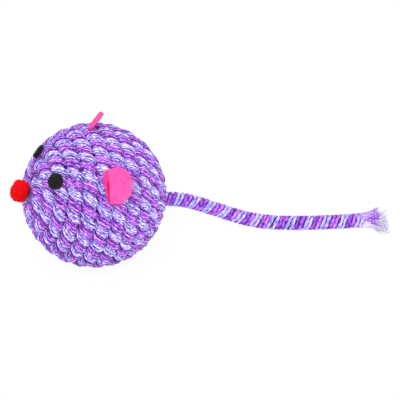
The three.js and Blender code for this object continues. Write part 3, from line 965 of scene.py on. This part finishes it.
# How far the tab has sunk onto the rope, as a share
def settledAt(row, tab):
    return min(-row / tab * ears["settles"], 1)


def unevenness(kind, row, y, seed):
    spot = Vector((row * kind["pace"], y * kind["pace"], seed + kind["seed"]))
    return kind["size"] * noise.noise(spot)


# A point of the felt's upper layer (1) or lower layer (-1), and how much painted shade it takes there,
# along the crease and on the tab
def earPoint(row, share, layer, spot, profile, seed):
    size, tab, shade, fade = spot["share"], spot["tab"], ears["shade"], ears["fade"]
    x, z, angle = profile[row]
    half = earHalfWidth(row, spot) * size
    y = half * share
    inset = min(half - abs(y), row + tab, (ears["length"] - row) * size, ears["rim"])
    rounded = sqrt(max(1 - (1 - inset / ears["rim"]) ** 2, 0))
    lift = layer * ears["thickness"] / 2 * rounded + unevenness(ears["lump"], row, y, seed)
    if row > 0:
        x, z = x * size, ears["crease"] + (z - ears["crease"]) * size
        lift += ears["cup"] * (y / ears["half"]) ** 2 * min(row / ears["length"] * 2, 1)
    else:
        x *= 1 - spot["cut"] * max(-share, 0)
        lift -= settledAt(row, tab) * (spot["sink"] + y * y / (2 * ball["radius"]))
    wave = unevenness(ears["wave"], row, y, seed) * abs(share)
    point = Vector((x - sin(angle) * lift, y + wave, z + cos(angle) * lift))
    # Painted shade: full along the crease, fading towards the ear's upper end, and an even painted shade
    # on the tab
    creaseShade = clamped(shade["firm"] * (1 - abs(row + shade["at"]) / shade["wide"]))
    faded = clamped((share - fade["from"]) / fade["over"]) * fade["most"]
    return point, max(creaseShade * (1 - faded), shade["tab"] if row < -shade["at"] else 0)


def earSheet(name, spot, place, rows, seed):
    profile = earProfile(rows, radians(spot["lean"]))
    columns = [-share for share in reversed(ears["columns"][1:])] + ears["columns"]
    made = bmesh.new()
    # The fold layer carries the painted shade of the crease and the tab
    fold = made.verts.layers.float.new("fold")
    for layer in (1, -1):
        grid = []
        for row in rows:
            line = []
            for share in columns:
                point, shade = earPoint(row, share, layer, spot, profile, seed)
                vertex = made.verts.new(place @ point)
                vertex[fold] = shade
                line.append(vertex)
            grid.append(line)
        for lower, upper in zip(grid, grid[1:]):
            for k in range(len(columns) - 1):
                made.faces.new((lower[k], lower[k + 1], upper[k + 1], upper[k])[::layer])
    bmesh.ops.remove_doubles(made, verts=made.verts, dist=ears["weld"])
    sheet = finishMesh(name, made)
    sheet.data.materials.append(finishes["pinkFelt"])
    return sheet


def earArea(spot, rows):
    size, area = spot["share"], 0
    for before, after in zip(rows, rows[1:]):
        width = earHalfWidth(before, spot) + earHalfWidth(after, spot)
        area += (after - before) * (size if after > 0 else 1) * size * width
    return area - spot["cut"] * spot["tab"] * spot["foldHalf"] * size / 2


# The bead of glue that the tab is pressed down on
def earBead(name, spot, place):
    bead, half = ears["bead"], spot["foldHalf"] * spot["share"]
    sunk = spot["sink"] * settledAt(-bead["at"], spot["tab"])
    under = ears["crease"] - ears["thickness"] / 2 - sunk - bead["under"] * bead["high"]

    def press(point):
        along = point.z * (half - bead["short"])
        height = under + point.y * bead["high"] - along * along / (2 * ball["radius"])
        slant = 1 - spot["cut"] * max(-along / half, 0)
        return Vector(((point.x * bead["half"] - bead["at"]) * slant, along, height))

    return makeMelt(name, place, meltGrid["earSides"], press)


def makeEar(name, spot, seed):
    azimuth = radians(spot["azimuth"])
    groove = grooveNear(radians(ears["polar"]), azimuth) + spot["shift"] / ball["radius"]
    place = seatOn(groove, azimuth) @ turnedBy(spot["turn"], "Z")
    place = place @ Matrix.Translation((-ears["tabMiddle"], 0, -spot["deep"]))
    rows = earRows(spot["tab"])
    sheet = earSheet(name + "_sheet", spot, place, rows, seed)
    form = newObject(name + "_form", sheet.data.copy())
    fuzzy = runTree(name + "_fuzz", form, fuzzTree, {**ears["fuzz"], "Seed": seed})
    bead = earBead(name + "_bead", spot, place)
    bend, crease, size = ears["bend"], ears["crease"], spot["share"]
    return {"sheet": sheet, "fuzz": fuzzy, "bead": bead, "area": earArea(spot, rows),
            "start": place @ Vector((-bend, 0, crease)), "end": place @ Vector((bend, 0, crease)),
            "flat": (2 * ears["half"] * size, ears["length"] * size + spot["tab"])}


earPieces = {name: makeEar(name, spot, seed) for seed, (name, spot) in enumerate(ears["places"].items())}
print("ears made")

# The frayed end: loose yarn ends round the opened filler
fray = {
    "seed": 11,
    "headingFrom": -4,  # which of the tail's points
    "points": 9,
    "sides": 5,
    "bundle": 2.3 * mm,
    "bundleShare": 0.8,
    "fan": 0.14,
    "fanStray": 0.35,
    "lift": 0.1,
    "liftStray": 0.4,
    "curl": 0.5,
    "secondShare": 0.25,
    "tucked": 1.2 * mm,
    "droop": 0.8 * mm,
    "thinning": 0.7,
    "rests": 0.1 * mm,
    "strands": {
        "tail_yarn_ends": {
            "count": 420, "lengths": (3.5 * mm, 8.0 * mm), "radius": 0.27 * mm, "side": 0.5 * mm,
            "rise": 0.65 * mm, "first": finishes["tailPurple"], "second": finishes["tailLavender"]},
        "tail_filler_fibres": {
            "count": 560, "lengths": (6.0 * mm, 11.5 * mm), "radius": 0.17 * mm, "side": -0.5 * mm,
            "rise": -0.5 * mm, "first": finishes["whiteFibre"], "second": finishes["whiteFibre"]}},
}


def makeStrandTree():
    tree, given = newGeometryTree(
        "looseStrands", Int=["Sides"], Float=["Radius"], Material=["Material", "Second"])
    line = changed(given["Geometry"], "MeshToCurve")
    ring = ringCurve(given["Sides"], given["Radius"])
    tubes = tubesAlong(line, ring, Scale=named(tree, "girth"))
    return endTree(tubes, given["Material"], given["Second"])


strandTree = makeStrandTree()


def makeFray(name, count, lengths, radius, side, rise, first, second, chance):
    end = tailLine[-1]
    heading = (end - tailLine[fray["headingFrom"]]).normalized()
    across, up = Vector((-heading.y, heading.x, 0)).normalized(), Vector((0, 0, 1))
    # Loose strands take the crests' rise, so they get no painted groove shade
    bundle, last, crest = fray["bundle"], fray["points"] - 1, plies["groove"]["From Min"]
    points, edges, values = [], [], {"along": [], "yarn": [], "lay": [], "girth": [], "rise": []}
    for strand in range(count):
        spot = bundle * fray["bundleShare"] * sqrt(chance.random())
        turn = chance.random() * fullTurn
        wide, high = spot * cos(turn) + side, spot * sin(turn) + rise
        length = chance.uniform(*lengths)
        drift = fray["fan"] * (wide / bundle + chance.uniform(-fray["fanStray"], fray["fanStray"]))
        climb = fray["lift"] * (high / bundle + chance.uniform(-fray["liftStray"], fray["liftStray"]))
        curl = chance.uniform(-fray["curl"], fray["curl"])
        lay = float(chance.random() < fray["secondShare"])
        for k in range(last + 1):
            share = k / last
            along = share * length - fray["tucked"]
            spread = max(along, 0)
            point = end + heading * along + across * (wide + spread * (drift + curl * share * share))
            point += up * (high + spread * climb - share * share * fray["droop"])
            point.z = max(point.z, radius + fray["rests"])
            if k:
                edges.append((len(points) - 1, len(points)))
            points.append(point)
            girth = 1 - fray["thinning"] * share ** 2
            for label, value in zip(values, (along, strand, lay, girth, crest)):
                values[label].append(value)
    mesh = bpy.data.meshes.new(name)
    mesh.from_pydata(points, edges, [])
    setValues(mesh, **values)
    return runTree(name, newObject(name, mesh), strandTree, {
        "Radius": radius, "Sides": fray["sides"], "Material": first, "Second": second})


frayChance = random.Random(fray["seed"])
frayedYarn, frayedFiller = [makeFray(name, chance=frayChance, **strands)
                            for name, strands in fray["strands"].items()]
print("frayed end made")

# The catnip: a loose heap of dried leaf in the bottom of the core
catnip = {
    "radius": 19.6 * mm,
    "fill": 0.93,
    "rim": -3 * mm,
    "crown": 2.4 * mm,
    "bowlRings": 12,
    "crownRings": 10,
    "sides": 40,
    "lump": 0.7 * mm,
    "lumpPace": 260,
    "flakes": {"Density": 1.1e6, "Seed": 3, "Length": 1.3 * mm, "Thickness": 0.6 * mm, "Flat": 0.14,
               "Tilt": 1.5, "Base": True, "Material": finishes["driedLeaf"]},
}


def makeCatnip():
    reach, bottom = catnip["radius"] * catnip["fill"], -pi / 2
    rimAngle = asin(catnip["rim"] / catnip["radius"])
    rings = [(0, -reach)]
    for k in range(1, catnip["bowlRings"] + 1):
        angle = bottom + (rimAngle - bottom) * k / catnip["bowlRings"]
        rings.append((reach * cos(angle), reach * sin(angle)))
    width, edge = rings[-1]
    for k in range(1, catnip["crownRings"] + 1):
        share = 1 - k / catnip["crownRings"]
        rings.append((width * share, edge + (catnip["crown"] - edge) * (1 - share ** 2)))

    def heave(point):
        return point + Vector((0, 0, catnip["lump"] * noise.noise(point * catnip["lumpPace"])))

    form = ringMesh("heapForm", rings, catnip["sides"], Matrix.Translation(ballCentre), heave)
    return runTree("catnip_heap", form, fuzzTree, catnip["flakes"])


catnipHeap = makeCatnip()
print("catnip made")

# Stage: a plain pale floor and soft light
stage = {
    "floorHalf": 3.0,
    "floorDrop": 0.1 * mm,
    "floorShade": 0.92,
    "floorRoughness": 0.9,
    "floorGlow": 0.92,
    "ambient": 0.5,
    "aim": (0, 0, 0.02),
    "lamps": {"keyLight": {"place": (-0.35, -0.5, 0.9), "size": 0.6, "power": 9.6},
              "fillLight": {"place": (0.6, -0.5, 0.5), "size": 0.7, "power": 3.2},
              "backLight": {"place": (0.1, 0.7, 0.7), "size": 0.6, "power": 4.2}},
}


# White to the camera, and the plain shader to the light that falls on the toy
def whiteWhenSeen(tree, plain, glowKind, glowShare, end):
    path = addNode(tree, "ShaderNodeLightPath")
    seen = calc("MAXIMUM", path["Is Camera Ray"], path["Is Glossy Ray"])
    glow = addNode(tree, glowKind, Color=(1, 1, 1, 1), Strength=1.0)[0]
    wires = {0: calc("MULTIPLY", seen, glowShare), 1: plain.outputs[0], 2: glow}
    mix = addNode(tree, "ShaderNodeMixShader", wires)[0]
    tree.links.new(mix, tree.nodes[end].inputs["Surface"])


def makeFloor():
    half, drop, shade = stage["floorHalf"], stage["floorDrop"], stage["floorShade"]
    mesh = bpy.data.meshes.new("floor")
    corners = [(-half, -half, -drop), (half, -half, -drop), (half, half, -drop), (-half, half, -drop)]
    mesh.from_pydata(corners, [], [(0, 1, 2, 3)])
    material, tree, shader = newMaterial("paleFloor", stage["floorRoughness"])
    shader.inputs["Base Color"].default_value = (shade, shade, shade, 1)
    whiteWhenSeen(tree, shader, "ShaderNodeEmission", stage["floorGlow"], "Material Output")
    mesh.materials.append(material)
    return newObject("floor", mesh)


def makeLight():
    bpy.context.scene.view_settings.view_transform = "Standard"
    world = bpy.data.worlds.new("studio")
    bpy.context.scene.world = world
    world.use_nodes = True
    ambient = world.node_tree.nodes["Background"]
    ambient.inputs["Color"].default_value = (1, 1, 1, 1)
    ambient.inputs["Strength"].default_value = stage["ambient"]
    whiteWhenSeen(world.node_tree, ambient, "ShaderNodeBackground", 1.0, "World Output")
    for name, lamp in stage["lamps"].items():
        data = bpy.data.lights.new(name, "AREA")
        data.size = lamp["size"]
        data.energy = lamp["power"]
        aim = Vector(stage["aim"]) - Vector(lamp["place"])
        light = newObject(name, data)
        light.location = lamp["place"]
        light.rotation_euler = aim.to_track_quat("-Z", "Y").to_euler()


makeFloor()
makeLight()
print("stage made")


# What each piece moves with and stands for
def settle(piece, body, node):
    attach(piece, body)
    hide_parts(node)


for piece in (lavenderRope, purpleRope):
    settle(piece, "ball", "rope_winding")
settle(nosePompom, "ball", "nose_pompom")
settle(noseMelt, "ball", "nose_glue")
for name, eye in eyePieces.items():
    settle(eye["disc"], "ball", name)
    settle(eye["melt"], "ball", name + "_glue")
settle(catnipHeap, "ball", "catnip_fill")
settle(frayedYarn, "tail_tip", "tail_frayed_yarn")
settle(frayedFiller, "tail_tip", "tail_frayed_filler")
for name, ear in earPieces.items():
    for piece in (ear["sheet"], ear["fuzz"]):
        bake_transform(piece)
        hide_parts(name + "_tab", name + "_flap")
    settle(ear["bead"], "ball", name + "_glue")

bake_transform(rootRope)
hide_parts("tail_root_stretch")
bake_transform(tipRope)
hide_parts("tail_tip_stretch")
print("pieces settled")
